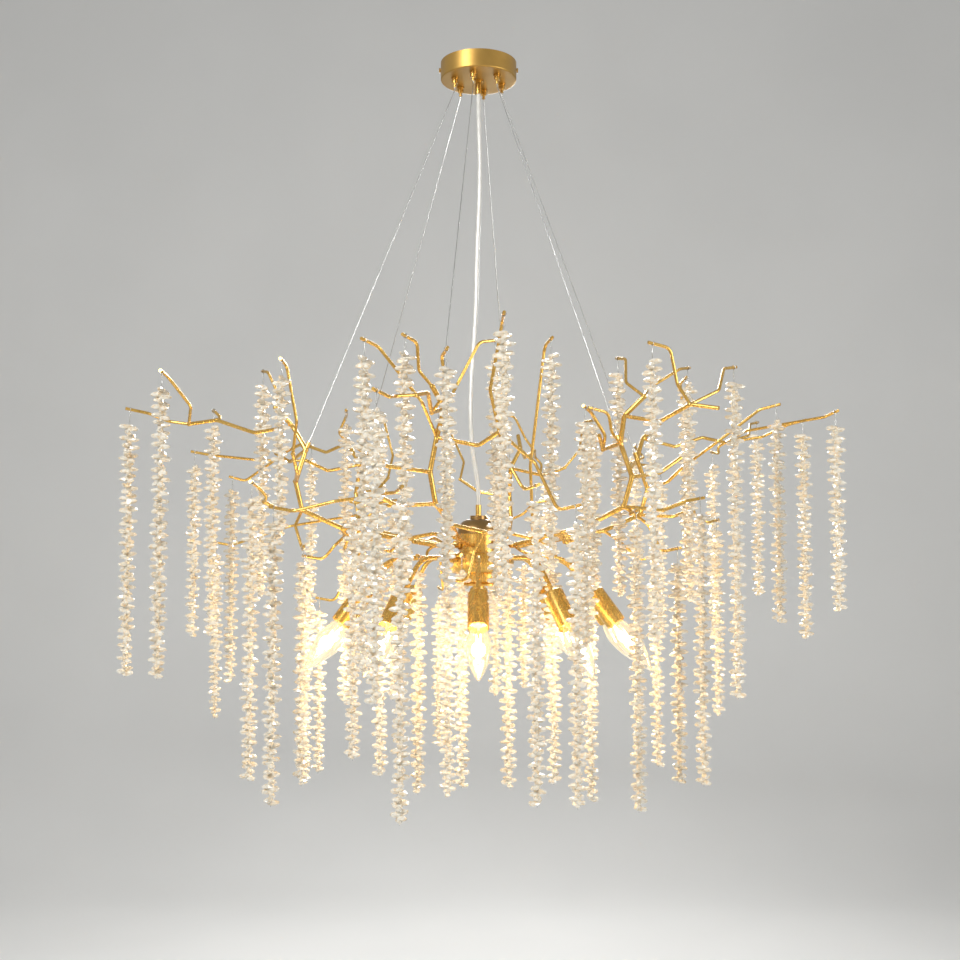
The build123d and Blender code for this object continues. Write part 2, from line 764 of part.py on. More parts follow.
# Limbs: each stem with its branches and twigs is one piece of rod, joined at swollen joints.
# Many rods end in one joint, so all of a limb's rods and balls are joined in a single fuse.
for limb in limbs:
    joint, corner, up_wire = wire_way(limb)
    knuckles = {("stem", index) for index in stem_joints}
    routes = []
    for run, (radius, points) in limb_runs.items():
        routes.append(([limb_point(limb, run, index) for index in range(len(points))], radius))
    for order, strand in enumerate(strands[limb]):
        route, slope, start = twig_route(limb, strand, order)
        routes.append((route, twig_radius))
        knuckles.add(start)
    members = []
    for route, radius in routes:
        with BuildPart() as member:
            tube(route, radius)
        members.append(member.part)
    for run, index in sorted(knuckles):
        with BuildPart() as member:
            ball(limb_point(limb, run, index), run_direction(limb, run, index),
                 limb_runs[run][0] + knuckle)
        members.append(member.part)
    with BuildPart() as tree:
        add(members)
        rod(joint, joint + up_wire * boss_length, boss_radius)
        rod(joint + up_wire * ferrule_foot, joint + up_wire * boss_length * 2,
            ferrule_radius + slip, Mode.SUBTRACT)
    save(tree, f"limb_{limb + 1}")


def crystal_strand(limb, order):
    """Adds one strand: a ring round its twig, a wire hook and a column of pointed chips."""
    strand = strands[limb][order]
    x, y, height, length = strand[:4]
    route, slope, start = twig_route(limb, strand, order)
    ring_radius_middle = twig_radius + ring_gap + ring_wire
    pivot = Vector(x, y, height + hook_drop - hub_drop)
    down = (slope * slope.Z - Vector(0, 0, 1)).normalized()
    hook = pivot + down * ring_radius_middle
    with Locations(Plane(origin=pivot, x_dir=slope.cross(down), z_dir=slope)):
        Torus(ring_radius_middle, ring_wire)
    top = height - hub_drop
    count = round(length / chip_pitch)
    pitch = length / count
    outline = [(0, hook.Z), (ring_wire, hook.Z), (ring_wire, top)]
    for tooth in range(count):
        reach = chip_reach_top + (chip_reach_bottom - chip_reach_top) * tooth / count
        outline.append((reach * chip_root, top - tooth * pitch))
        outline.append((reach, top - (tooth + 0.5) * pitch))
    outline += [(chip_reach_bottom * chip_root, top - length), (0, top - length)]
    middle = Vector(hook.X, hook.Y, 0)
    turned(outline, plane=Plane(origin=middle, x_dir=(1, 0, 0), z_dir=(0, -1, 0)),
           axis=Axis(middle, (0, 0, 1)))
    return pivot, slope


# Strands with a hinge of their own, numbered limb by limb, and the others as one set a limb.
number = 0
hinges = {}
for limb in limbs:
    with BuildPart() as fixed_set:
        for order, strand in enumerate(strands[limb]):
            if swing not in strand:
                crystal_strand(limb, order)
    save(fixed_set, f"strand_set_{limb + 1}")
    for order, strand in enumerate(strands[limb]):
        if swing in strand:
            number += 1
            with BuildPart() as single:
                hinges[f"strand_{number:02d}"] = crystal_strand(limb, order)
            save(single, f"strand_{number:02d}")
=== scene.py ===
import json
import math
import random

import bpy
import numpy as np
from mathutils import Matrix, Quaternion, Vector


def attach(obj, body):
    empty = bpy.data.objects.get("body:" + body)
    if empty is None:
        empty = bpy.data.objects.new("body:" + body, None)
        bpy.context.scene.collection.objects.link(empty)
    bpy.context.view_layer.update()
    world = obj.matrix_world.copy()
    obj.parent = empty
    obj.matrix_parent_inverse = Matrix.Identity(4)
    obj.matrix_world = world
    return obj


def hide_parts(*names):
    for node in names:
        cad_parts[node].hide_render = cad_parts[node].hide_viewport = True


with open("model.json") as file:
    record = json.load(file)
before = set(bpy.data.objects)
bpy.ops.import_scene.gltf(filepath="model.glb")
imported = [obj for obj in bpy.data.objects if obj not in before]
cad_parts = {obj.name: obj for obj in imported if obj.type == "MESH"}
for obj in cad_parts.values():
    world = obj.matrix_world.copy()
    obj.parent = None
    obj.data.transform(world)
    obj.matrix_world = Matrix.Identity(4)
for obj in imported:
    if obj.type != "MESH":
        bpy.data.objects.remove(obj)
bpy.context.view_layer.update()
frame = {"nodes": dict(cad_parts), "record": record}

# The dressed chandelier. Metres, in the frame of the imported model: the origin is the centre of
# the ceiling face, +Z is up and -Y is towards the camera.

MM = 0.001
UP = Vector((0, 0, 1))

# ---------------------------------------------------------------- crystal sizes
CHIP_PITCH = 3.6 * MM
CHIP_THICKNESS = 8.8 * MM
CHIP_WIDTH = 10.0 * MM
CHIP_END = 4.2 * MM  # from the first and last chips' places to the ends of the strand
CHIP_TURN = (115, 160)  # degrees from one chip to the next
CHIP_TILT = math.radians(14)  # a chip leans sideways by up to this, and nods by up to half of it
CHIP_SIDES = 6
# Along a chip, outward from the thread: share of its reach, of its width and of its thickness
CHIP_STATIONS = [
    (-0.34, 0.30, 0.36),
    (-0.08, 0.80, 0.84),
    (0.38, 1.0, 1.0),
    (0.74, 0.80, 0.82),
    (0.93, 0.44, 0.46),
    (1.0, 0.14, 0.14),
]
# How much chips differ, as ranges of a random share
REACH_SHARE = (0.90, 1.0)  # of the reach that its column has there
WIDTH_SHARE = (0.88, 1.06)  # of its width, at each station
THICKNESS_SHARE = (0.90, 1.0)  # of its thickness, at each station
CORNER_SHIFT = (-0.22, 0.22)  # of the step between two corners, for the whole chip
CORNER_SHARE = (0.88, 1.0)  # of a corner's distance from the middle, for the whole chip
CORNER_LUMP = (0.80, 1.10)  # of the same, at each station

THREAD_SWAY = 0.3 * MM  # how far a hanging thread wanders from a straight line, each way
THREAD_SWAY_ROOM = 1.5 * THREAD_SWAY  # that in both directions together, rounded up
THREAD_FADE = 50 * MM  # below the top of the chips, over which the sway grows to its full size
THREAD_WAVE = (16, 30)  # radians of the sway for each metre
THREAD_WAVE_RATIO = 1.3  # the sway along Y to the sway along X
THREAD_PHASE = (0, 6.28)  # radians
THREAD_END = 1.0 * MM  # from the lowest point of the CAD strand
THREAD_POINTS = 30

HOOK_WIRE = 0.35 * MM  # radius of the thread, the twisted shank and the eye
HOOK_WIRE_SIDES = 6
SHANK_TWIST = 4.5 * math.pi
SHANK_STEPS = 22
EYE_RADIUS = 1.6 * MM
EYE_GAP = 2.2 * MM  # between the eye and the top of the chips
EYE_POINTS = 14
RING_WIRE = 0.55 * MM  # radius
RING_WIRE_SIDES = 8
RING_POINTS = 20

# A CAD strand is a ring of 3.7 mm outer radius, a wire hook and a column of teeth of about 12 mm
# each. These heights and distances pick out its parts.
CAD_RING_HEIGHT = 7 * MM  # from the top: the ring
CAD_RING_WIRE = 0.6 * MM  # radius
CAD_HOOK_HEIGHT = 24 * MM  # from the top: everything below this is column
CAD_CORE = 5 * MM  # from the column's axis: everything further out is column
CAD_LAST_TOOTH = 10 * MM  # from the foot: holds the point of the last tooth

# ---------------------------------------------------------------- bulb sizes
BULB_WALL = 0.8 * MM
# The outside of the glass: radius and distance from the cap's foot, in millimetres
BULB_PROFILE = [
    (6.9, 24.0),
    (8.4, 28.5),
    (13.8, 43.2),
    (17.3, 63.6),
    (12.4, 92.5),
    (3.9, 113.5),
    (0.0, 117.8),
]
BULB_STEPS = 6  # between two points of the profile
BULB_TIP = 100 * MM  # further along than this, the inside also stands back from the tip
BULB_SIDES = 32
POINT_RADIUS = 0.05 * MM  # of the small face that stands for a point of a turned shape

CAP_RADIUS = 6.7 * MM
CAP_SIDES = 24
CONTACT = [(0.3 * CAP_RADIUS, 0), (0.7 * CAP_RADIUS, 2.0 * MM)]  # foot contact and its insulator
SCREW_START = 4.0 * MM
SCREW_STEP = 0.75 * MM  # a quarter of the thread's pitch
SCREW_STEPS = 25
SCREW_DEPTH = 0.45 * MM  # the thread goes this far to each side of its middle
COLLAR_SPAN = (23.0 * MM, 24.5 * MM)  # the plain end of the cap, which holds the glass

# The glass stem inside: radius and distance from the cap's foot, in millimetres
STEM_PROFILE = [(5.5, 25.0), (3.6, 32.0), (2.2, 40.0), (1.6, 46.0), (1.2, 50.0)]
STEM_SIDES = 16

FILAMENT_COUNT = 4
FILAMENT_RADIUS = 0.9 * MM
FILAMENT_SIDES = 8
FILAMENT_STEPS = 8
FILAMENT_SPAN = (48.0 * MM, 88.0 * MM)
FILAMENT_CIRCLE = 4.0 * MM  # distance of their lower ends from the bulb's axis
FILAMENT_CLOSING = 0.55  # distance of the upper ends as a share of that
LAMP_CENTRE = 68.0 * MM  # middle of the glow, from the cap's foot

# ---------------------------------------------------------------- cord
CORD_DIAMETER = 7.0 * MM
CORD_ROUTE = [
    (0, 0, -0.050),
    (0, 0, -0.090),
    (0.0025, -0.002, -0.150),
    (0.0015, -0.003, -0.225),
    (-0.0025, 0, -0.305),
    (-0.0035, 0.003, -0.380),
    (-0.007, 0.004, -0.445),
    (-0.012, 0.002, -0.510),
    (-0.0125, -0.002, -0.580),
    (-0.008, -0.003, -0.630),
    (0, 0, -0.668),
    (0, 0, -0.702),
]

# ---------------------------------------------------------------- colours, linear
GOLD_LIGHT = (0.73, 0.47, 0.14, 1)
GOLD_DARK = (0.61, 0.37, 0.09, 1)
BRONZE_LIGHT = (0.49, 0.30, 0.085, 1)
BRONZE_DARK = (0.42, 0.25, 0.065, 1)
OLD_GOLD_LIGHT = (0.34, 0.21, 0.08, 1)
OLD_GOLD_DARK = (0.22, 0.13, 0.05, 1)
STEEL_LIGHT = (0.60, 0.60, 0.58, 1)
STEEL_DARK = (0.44, 0.44, 0.43, 1)
ZINC_LIGHT = (0.62, 0.63, 0.64, 1)
ZINC_DARK = (0.44, 0.45, 0.47, 1)
CRYSTAL_CLEAR = (0.99, 0.95, 0.84, 1)
CRYSTAL_CHAMPAGNE = (0.90, 0.73, 0.50, 1)
PLASTIC_LIGHT = (0.84, 0.83, 0.79, 1)
PLASTIC_DARK = (0.76, 0.75, 0.71, 1)
JACKET_LIGHT = (0.90, 0.89, 0.85, 1)
JACKET_DARK = (0.80, 0.79, 0.74, 1)
BULB_PALE = (1.0, 0.97, 0.90, 1)
BULB_WARM = (1.0, 0.93, 0.82, 1)
BULB_GLOW = (1.0, 0.74, 0.42, 1)
FILAMENT_BRIGHT = (1.0, 0.78, 0.48, 1)
FILAMENT_DEEP = (1.0, 0.62, 0.28, 1)
LAMP_COLOUR = (1.0, 0.76, 0.44)
PAPER_LIGHT = (0.70, 0.70, 0.685, 1)
PAPER_DARK = (0.67, 0.67, 0.655, 1)
STUDIO_WHITE = (1.0, 1.0, 0.985, 1)
BLACK = (0, 0, 0, 1)

# ---------------------------------------------------------------- stage, light and camera
FLOOR_LEVEL = -1.90
STAGE_HALF = 7.0  # half the width of the stage, and its length towards the camera
BACKDROP = 3.2  # distance of the upright part behind the object
BACKDROP_TOP = 7.0
BACKDROP_CURVE = 0.9  # radius between the floor and the upright part
BACKDROP_STEPS = 16
STAGE_CENTRE = (0, 1.6, -0.5)  # middle of what the camera sees of the stage
STAGE_FADE = (3.4, 5.4)  # distances from there between which the stage fades to the world
WORLD_LIGHT = 0.24
WORLD_SEEN = 0.62
STAGE_GLOW = 0.12  # what the eye, gloss and glass see of the stage beyond its lighting

LIGHT_TARGET = (0, 0, -0.72)
# name, place, diameter and power of each disc of light
LIGHTS = [
    ("key", (-1.7, -2.3, 0.5), 1.0, 72),
    ("fill", (2.4, -1.3, -0.6), 1.2, 36),
    ("rim", (0.15, 2.3, 0.2), 0.9, 52),
]
LAMP_POWER = 0.72
LAMP_RADIUS = 12 * MM

CAMERA_PLACE = (0.0023, -1.954, -0.800)
CAMERA_TURN = (math.radians(94), 0, 0)  # 4 degrees above level
CAMERA_LENS = 47.3
CAMERA_SENSOR = 36.0


# ---------------------------------------------------------------- materials
NOISE_SPAN = (0.3, 0.7)  # nearly all values of a noise lie between these


class Maker:
    """A node material: its tree, its shader and short ways to add nodes."""

    def __init__(self, name):
        self.material = bpy.data.materials.new(name)
        self.material.use_nodes = True
        self.tree = self.material.node_tree
        self.shader = self.tree.nodes["Principled BSDF"]
        self.place = self.add("ShaderNodeTexCoord").outputs["Object"]

    def add(self, kind, **settings):
        node = self.tree.nodes.new(kind)
        for key, value in settings.items():
            setattr(node, key, value)
        return node

    def link(self, out, into):
        self.tree.links.new(out, into)

    def set(self, **values):
        """Sets sockets of the shader; an underscore stands for a space."""
        for key, value in values.items():
            self.shader.inputs[key.replace("_", " ")].default_value = value

    def noise(self, scale, detail, stretch=None):
        """A noise value. A small number in stretch lengthens its grain along that axis."""
        node = self.add("ShaderNodeTexNoise")
        node.inputs["Scale"].default_value = scale
        node.inputs["Detail"].default_value = detail
        place = self.place
        if stretch:
            mapping = self.add("ShaderNodeMapping")
            mapping.inputs["Scale"].default_value = stretch
            self.link(place, mapping.inputs["Vector"])
            place = mapping.outputs["Vector"]
        self.link(place, node.inputs["Vector"])
        return node.outputs["Fac"]

    def ramp(self, value, low, high, start=0.35, end=0.65):
        """A colour that goes from low to high as the value goes from start to end."""
        node = self.add("ShaderNodeValToRGB")
        node.color_ramp.elements[0].position = start
        node.color_ramp.elements[0].color = low
        node.color_ramp.elements[1].position = end
        node.color_ramp.elements[1].color = high
        self.link(value, node.inputs["Fac"])
        return node.outputs["Color"]

    def spread(self, value, low, high):
        """A value from a noise, spread over a range."""
        node = self.add("ShaderNodeMapRange")
        node.inputs["From Min"].default_value = NOISE_SPAN[0]
        node.inputs["From Max"].default_value = NOISE_SPAN[1]
        node.inputs["To Min"].default_value = low
        node.inputs["To Max"].default_value = high
        self.link(value, node.inputs["Value"])
        return node.outputs["Result"]

    def bump(self, value, strength, distance):
        node = self.add("ShaderNodeBump")
        node.inputs["Strength"].default_value = strength
        node.inputs["Distance"].default_value = distance
        self.link(value, node.inputs["Height"])
        self.link(node.outputs["Normal"], self.shader.inputs["Normal"])

    def colour(self, out):
        self.link(out, self.shader.inputs["Base Color"])

    def rough(self, out):
        self.link(out, self.shader.inputs["Roughness"])


def metal(name, dark, light, roughness, grain, stretch=None, depth=0.15):
    """A drawn, brushed, satin or cast metal. grain is the scale of its grain, depth its bump."""
    maker = Maker(name)
    maker.set(Metallic=1.0)
    maker.colour(maker.ramp(maker.noise(scale=28, detail=2), dark, light, *NOISE_SPAN))
    lines = maker.noise(scale=grain, detail=3, stretch=stretch)
    maker.rough(maker.spread(lines, *roughness))
    maker.bump(lines, strength=depth, distance=0.2 * MM)
    return maker.material


def crystal_material():
    """Clear to champagne glass, each chip slightly different, with a faint surface ripple."""
    maker = Maker("crystal")
    maker.set(IOR=1.55, Transmission_Weight=0.24, Coat_Weight=0.7, Coat_Roughness=0.03)
    clouds = maker.noise(scale=230, detail=2)
    maker.colour(maker.ramp(clouds, CRYSTAL_CLEAR, CRYSTAL_CHAMPAGNE, start=0.44, end=0.64))
    ripple = maker.noise(scale=420, detail=2)
    maker.rough(maker.spread(ripple, low=0.03, high=0.09))
    maker.bump(ripple, strength=0.2, distance=0.2 * MM)
    return maker.material


def bulb_glass_material():
    """Clear warm candle glass with the glow of a lit bulb."""
    maker = Maker("bulb_glass")
    maker.set(IOR=1.45, Transmission_Weight=1.0)
    maker.set(Emission_Color=BULB_GLOW, Emission_Strength=0.10)
    maker.colour(maker.ramp(maker.noise(scale=60, detail=1), BULB_WARM, BULB_PALE))
    maker.rough(maker.spread(maker.noise(scale=240, detail=2), low=0.01, high=0.05))
    return maker.material


def filament_material():
    """The lit filament, a little uneven along its length."""
    maker = Maker("filament")
    maker.set(Emission_Strength=26.0, Roughness=0.5)
    glow = maker.ramp(maker.noise(scale=300, detail=1), FILAMENT_DEEP, FILAMENT_BRIGHT)
    maker.colour(glow)
    maker.link(glow, maker.shader.inputs["Emission Color"])
    return maker.material


def plastic(name, dark, light, roughness, transmission=0.0, coat=0.0):
    """Moulded plastic with a fine, even skin."""
    maker = Maker(name)
    maker.set(IOR=1.48, Transmission_Weight=transmission, Coat_Weight=coat, Coat_Roughness=0.08)
    maker.colour(maker.ramp(maker.noise(scale=70, detail=3), dark, light))
    skin = maker.noise(scale=2400, detail=2)
    maker.rough(maker.spread(skin, *roughness))
    maker.bump(skin, strength=0.08, distance=0.05 * MM)
    return maker.material


materials = {
    "satin_gold": metal(
        "satin_gold", GOLD_DARK, GOLD_LIGHT,
        roughness=(0.25, 0.29), grain=260, stretch=(1, 1, 0.25), depth=0.01,
    ),
    "brushed_bronze": metal(
        "brushed_bronze", BRONZE_DARK, BRONZE_LIGHT,
        roughness=(0.38, 0.42), grain=260, stretch=(0.3, 0.3, 3), depth=0.003,
    ),
    "dark_gold": metal(
        "dark_gold", OLD_GOLD_DARK, OLD_GOLD_LIGHT,
        roughness=(0.28, 0.36), grain=260, stretch=(0.3, 0.3, 3), depth=0.02,
    ),
    "steel": metal(
        "steel", STEEL_DARK, STEEL_LIGHT,
        roughness=(0.20, 0.34), grain=1600, stretch=(1, 1, 3), depth=0.3,
    ),
    "zinc": metal("zinc", ZINC_DARK, ZINC_LIGHT, roughness=(0.30, 0.46), grain=320),
    "crystal": crystal_material(),
    "bulb_glass": bulb_glass_material(),
    "filament": filament_material(),
    "white_plastic": plastic(
        "white_plastic", PLASTIC_DARK, PLASTIC_LIGHT, roughness=(0.34, 0.46)
    ),
    "cord_jacket": plastic(
        "cord_jacket", JACKET_DARK, JACKET_LIGHT,
        roughness=(0.14, 0.24), transmission=0.25, coat=0.4,
    ),
}
slot_of = {part["node"]: part["material_slot"] for part in frame["record"]["subparts"]}
body_of = {
    node: body for body, nodes in frame["record"]["behaviour"]["bodies"].items() for node in nodes
}
for node, cad in frame["nodes"].items():
    for slot in cad.material_slots:
        slot.material = materials[slot_of[node]]


# ---------------------------------------------------------------- meshes
def put(name, data):
    """A new object in the scene."""
    made = bpy.data.objects.new(name, data)
    bpy.context.scene.collection.objects.link(made)
    return made


class Mesh:
    """Vertices and faces being gathered for one object."""

    def __init__(self):
        self.vertices = []
        self.faces = []

    def add(self, vertices, faces):
        first = len(self.vertices)
        self.vertices += [tuple(vertex) for vertex in vertices]
        self.faces += [[first + index for index in face] for face in faces]

    def finished(self, name, material, smooth=True):
        """The object, put in the scene."""
        mesh = bpy.data.meshes.new(name)
        mesh.from_pydata(self.vertices, [], self.faces)
        mesh.materials.append(material)
        mesh.polygons.foreach_set("use_smooth", [smooth] * len(mesh.polygons))
        mesh.update()
        return put(name, mesh)

    def piece(self, name, slot, body, smooth=True, surface=None):
        """The object as a piece that rides on its body. surface names a material other than its
        slot's."""
        made = self.finished(name, materials[surface or slot], smooth)
        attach(made, body)
        return made


def skin(sections, closed=False):
    """Vertices and faces of a skin over sections of equal count, capped unless it is closed."""
    count = len(sections[0])
    vertices = [vertex for section in sections for vertex in section]
    faces = []
    last = len(sections) if closed else len(sections) - 1
    for row in range(last):
        low = row * count
        high = (row + 1) % len(sections) * count
        for index in range(count):
            after = (index + 1) % count
            faces.append([low + index, low + after, high + after, high + index])
    if not closed:
        faces.append(list(range(count))[::-1])
        faces.append([(len(sections) - 1) * count + index for index in range(count)])
    return vertices, faces


def circle(middle, side, up, radius, count):
    turns = [2 * math.pi * index / count for index in range(count)]
    return [middle + side * (radius * math.cos(t)) + up * (radius * math.sin(t)) for t in turns]


def tube(points, radius, sides, closed=False):
    """A round tube along points, without twist."""
    sections = []
    side = None
    for index, point in enumerate(points):
        before = points[index - 1] if index or closed else point
        after = points[(index + 1) % len(points)] if index + 1 < len(points) or closed else point
        ahead = (after - before).normalized()
        if side is None:
            side = ahead.orthogonal().normalized()
        side = (side - ahead * side.dot(ahead)).normalized()
        sections.append(circle(point, side, ahead.cross(side), radius, sides))
    return skin(sections, closed)


def turned(profile, foot, ahead, sides):
    """A solid of revolution. profile is (radius, distance along the axis)."""
    side = ahead.orthogonal().normalized()
    up = ahead.cross(side)
    return skin([
        circle(foot + ahead * distance, side, up, max(radius, POINT_RADIUS), sides)
        for radius, distance in profile
    ])


def smooth_line(points, steps):
    """A Catmull-Rom line through points, with steps pieces between each pair."""
    padded = [points[0] * 2 - points[1], *points, points[-1] * 2 - points[-2]]
    line = []
    for a, b, c, d in zip(padded, padded[1:], padded[2:], padded[3:]):
        for step in range(steps):
            t = step / steps
            line.append(
                0.5
                * (
                    b * 2
                    + (c - a) * t
                    + (a * 2 - b * 5 + c * 4 - d) * t**2
                    + (b * 3 - a - c * 3 + d) * t**3
                )
            )
    return line + [points[-1]]


def solids_of(node):
    """The vertices of each separate solid of a CAD node, one array for each."""
    mesh = frame["nodes"][node].data
    places = np.empty(len(mesh.vertices) * 3)
    mesh.vertices.foreach_get("co", places)
    places = places.reshape(-1, 3)
    edges = np.empty(len(mesh.edges) * 2, int)
    mesh.edges.foreach_get("vertices", edges)
    # Vertices at one place count as one. Each then takes the lowest label it is joined to.
    same_within = 0.01 * MM
    _, same = np.unique(np.round(places / same_within).astype(int), axis=0, return_inverse=True)
    same = same.ravel()
    ends = same[edges].reshape(-1, 2)
    label = np.arange(same.max() + 1)
    while True:
        before = label.copy()
        least = np.minimum(label[ends[:, 0]], label[ends[:, 1]])
        np.minimum.at(label, ends[:, 0], least)
        np.minimum.at(label, ends[:, 1], least)
        label = label[label]
        if (label == before).all():
            break
    owner = label[same]
    return [places[owner == value] for value in np.unique(owner)]


# ---------------------------------------------------------------- crystal strands
def chip(rng, reach):
    """One pebble of glass, drilled near its inner end, that stands out along +X by reach."""
    start = rng.uniform(0, 2 * math.pi)
    corners = []
    for index in range(CHIP_SIDES):
        turn = start + 2 * math.pi * (index + rng.uniform(*CORNER_SHIFT)) / CHIP_SIDES
        corners.append((math.cos(turn), math.sin(turn), rng.uniform(*CORNER_SHARE)))
    sections = []
    for along, wide, thick in CHIP_STATIONS:
        x = along * reach
        y = CHIP_WIDTH / 2 * wide * rng.uniform(*WIDTH_SHARE)
        z = CHIP_THICKNESS / 2 * thick * rng.uniform(*THICKNESS_SHARE)
        section = []
        for across, up, size in corners:
            size *= rng.uniform(*CORNER_LUMP)
            section.append(Vector((x, y * across * size, z * up * size)))
        sections.append(section)
    return skin(sections)


class Strand:
    """Where one strand's solid hangs: its ring, the axis of its column and the column's reach."""

    def __init__(self, places):
        self.low = places[:, 2].min()
        high = places[:, 2].max()
        column = places[places[:, 2] < high - CAD_HOOK_HEIGHT]
        self.x, self.y = (column[:, :2].min(0) + column[:, :2].max(0)) / 2
        away = np.hypot(places[:, 0] - self.x, places[:, 1] - self.y)
        self.top = places[away > CAD_CORE][:, 2].max()
        self.reach_top = away.max()
        self.reach_low = away[places[:, 2] < self.low + CAD_LAST_TOOTH].max()
        ring = places[places[:, 2] > high - CAD_RING_HEIGHT]
        middle = (ring.min(0) + ring.max(0)) / 2
        self.ring = Vector(middle)
        self.ring_axis = Vector(np.linalg.svd(ring - middle, full_matrices=False)[2][2])
        self.ring_radius = high - middle[2] - CAD_RING_WIRE

    def thread(self, rng):
        """The line of the hanging wire: a function from a height to its place."""
        first, second = rng.uniform(*THREAD_PHASE), rng.uniform(*THREAD_PHASE)
        wave = rng.uniform(*THREAD_WAVE)

        def place(height):
            fade = min(1.0, (self.top - height) / THREAD_FADE) if height < self.top else 0.0
            return Vector((
                self.x + fade * THREAD_SWAY * math.sin(wave * height + first),
                self.y + fade * THREAD_SWAY * math.sin(wave * THREAD_WAVE_RATIO * height + second),
                height,
            ))

        return place


def add_chips(mesh, strand, rng, line):
    length = strand.top - strand.low - 2 * CHIP_END
    count = round(length / CHIP_PITCH)
    turn = rng.uniform(0, math.pi)
    for index in range(count):
        share = (index + 0.5) / count
        column = strand.reach_top + (strand.reach_low - strand.reach_top) * share
        reach = (column - THREAD_SWAY_ROOM) * rng.uniform(*REACH_SHARE)
        turn += math.radians(rng.uniform(*CHIP_TURN))
        lean = Quaternion((1, 0, 0), rng.uniform(-CHIP_TILT, CHIP_TILT))
        nod = Quaternion((0, 1, 0), rng.uniform(-CHIP_TILT, CHIP_TILT) / 2)
        turned_by = Quaternion(UP, turn) @ lean @ nod
        middle = line(strand.top - CHIP_END - share * length)
        vertices, faces = chip(rng, reach)
        mesh.add([middle + turned_by @ vertex for vertex in vertices], faces)


def add_hook(mesh, strand, line):
    """The ring round the twig, a twisted shank, an eye and the wire that the chips hang on."""
    aside = strand.ring_axis.cross(UP).normalized()
    rise = strand.ring_axis.cross(aside).normalized()
    ring = circle(strand.ring, aside, rise, strand.ring_radius, RING_POINTS)
    mesh.add(*tube(ring, RING_WIRE, RING_WIRE_SIDES, closed=True))
    foot = strand.ring - UP * strand.ring_radius
    eye = line(strand.top) + UP * (EYE_GAP + EYE_RADIUS)
    shank = eye + UP * EYE_RADIUS
    for hand in (0, math.pi):
        wire = []
        for step in range(SHANK_STEPS + 1):
            share = step / SHANK_STEPS
            turn = hand + share * SHANK_TWIST
            twist = Vector((math.cos(turn), math.sin(turn), 0)) * HOOK_WIRE
            wire.append(foot.lerp(shank, share) + twist)
        mesh.add(*tube(wire, HOOK_WIRE, HOOK_WIRE_SIDES))
    loop = circle(eye, aside, UP, EYE_RADIUS, EYE_POINTS)
    mesh.add(*tube(loop, HOOK_WIRE, HOOK_WIRE_SIDES, closed=True))
    heights = np.linspace(eye.z - EYE_RADIUS, strand.low + THREAD_END, THREAD_POINTS)
    mesh.add(*tube([line(height) for height in heights], HOOK_WIRE, HOOK_WIRE_SIDES))


for node in sorted(name for name in frame["nodes"] if name.startswith("strand")):
    chips = Mesh()
    hooks = Mesh()
    for order, places in enumerate(solids_of(node)):
        rng = random.Random(f"{node} {order}")
        strand = Strand(places)
        line = strand.thread(rng)
        add_chips(chips, strand, rng, line)
        add_hook(hooks, strand, line)
    crystals = chips.piece(f"{node}_chips", "crystal", body_of[node], smooth=False)
    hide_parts(node)
    hooks.piece(f"{node}_hook", "steel", body_of[node])


# ---------------------------------------------------------------- bulbs
def bulb_axis(places):
    """Foot of a bulb's cap and the unit vector towards its tip, which points down."""
    middle = places.mean(0)
    ahead = Vector(np.linalg.svd(places - middle, full_matrices=False)[2][0])
    if ahead.z > 0:
        ahead = -ahead
    reach = (places - middle) @ np.array(ahead)
    return Vector(middle) + ahead * reach.min(), ahead


def glass_profile():
    """The outside of a bulb from its cap to its tip, and then the inside back again."""
    corners = [Vector((radius * MM, distance * MM, 0)) for radius, distance in BULB_PROFILE]
    outer = [(point.x, point.y) for point in smooth_line(corners, BULB_STEPS)]
    inner = [
        (max(radius - BULB_WALL, 0), distance - (BULB_WALL if distance > BULB_TIP else 0))
        for radius, distance in reversed(outer)
    ]
    return outer + inner


def cap_profile():
    """A bulb's screw cap, from its foot contact to the glass."""
    screw = []
    for step in range(SCREW_STEPS):
        wave = SCREW_DEPTH * math.cos(step * math.pi / 2)
        screw.append((CAP_RADIUS - SCREW_DEPTH + wave, SCREW_START + step * SCREW_STEP))
    return CONTACT + screw + [(CAP_RADIUS, distance) for distance in COLLAR_SPAN]


def add_filaments(mesh, foot, ahead):
    side = ahead.orthogonal().normalized()
    for index in range(FILAMENT_COUNT):
        spoke = Quaternion(ahead, 2 * math.pi * index / FILAMENT_COUNT) @ side
        low = foot + ahead * FILAMENT_SPAN[0] + spoke * FILAMENT_CIRCLE
        high = foot + ahead * FILAMENT_SPAN[1] + spoke * (FILAMENT_CLOSING * FILAMENT_CIRCLE)
        points = [low.lerp(high, step / FILAMENT_STEPS) for step in range(FILAMENT_STEPS + 1)]
        mesh.add(*tube(points, FILAMENT_RADIUS, FILAMENT_SIDES))


glass, cap, stem, filament = Mesh(), Mesh(), Mesh(), Mesh()
glass_outline, cap_outline = glass_profile(), cap_profile()
stem_outline = [(radius * MM, distance * MM) for radius, distance in STEM_PROFILE]
lamp_places = []
for places in solids_of("bulbs"):
    foot, ahead = bulb_axis(places)
    glass.add(*turned(glass_outline, foot, ahead, BULB_SIDES))
    cap.add(*turned(cap_outline, foot, ahead, CAP_SIDES))
    stem.add(*turned(stem_outline, foot, ahead, STEM_SIDES))
    add_filaments(filament, foot, ahead)
    lamp_places.append(foot + ahead * LAMP_CENTRE)
shells = glass.piece("bulb_shells", "bulb_glass", "fixture")
shells.visible_shadow = False
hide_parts("bulbs")
cap.piece("bulb_caps", "steel", "fixture")
stem.piece("bulb_stems", "bulb_glass", "fixture")
filament.piece("bulb_filaments", "bulb_glass", "fixture", surface="filament")

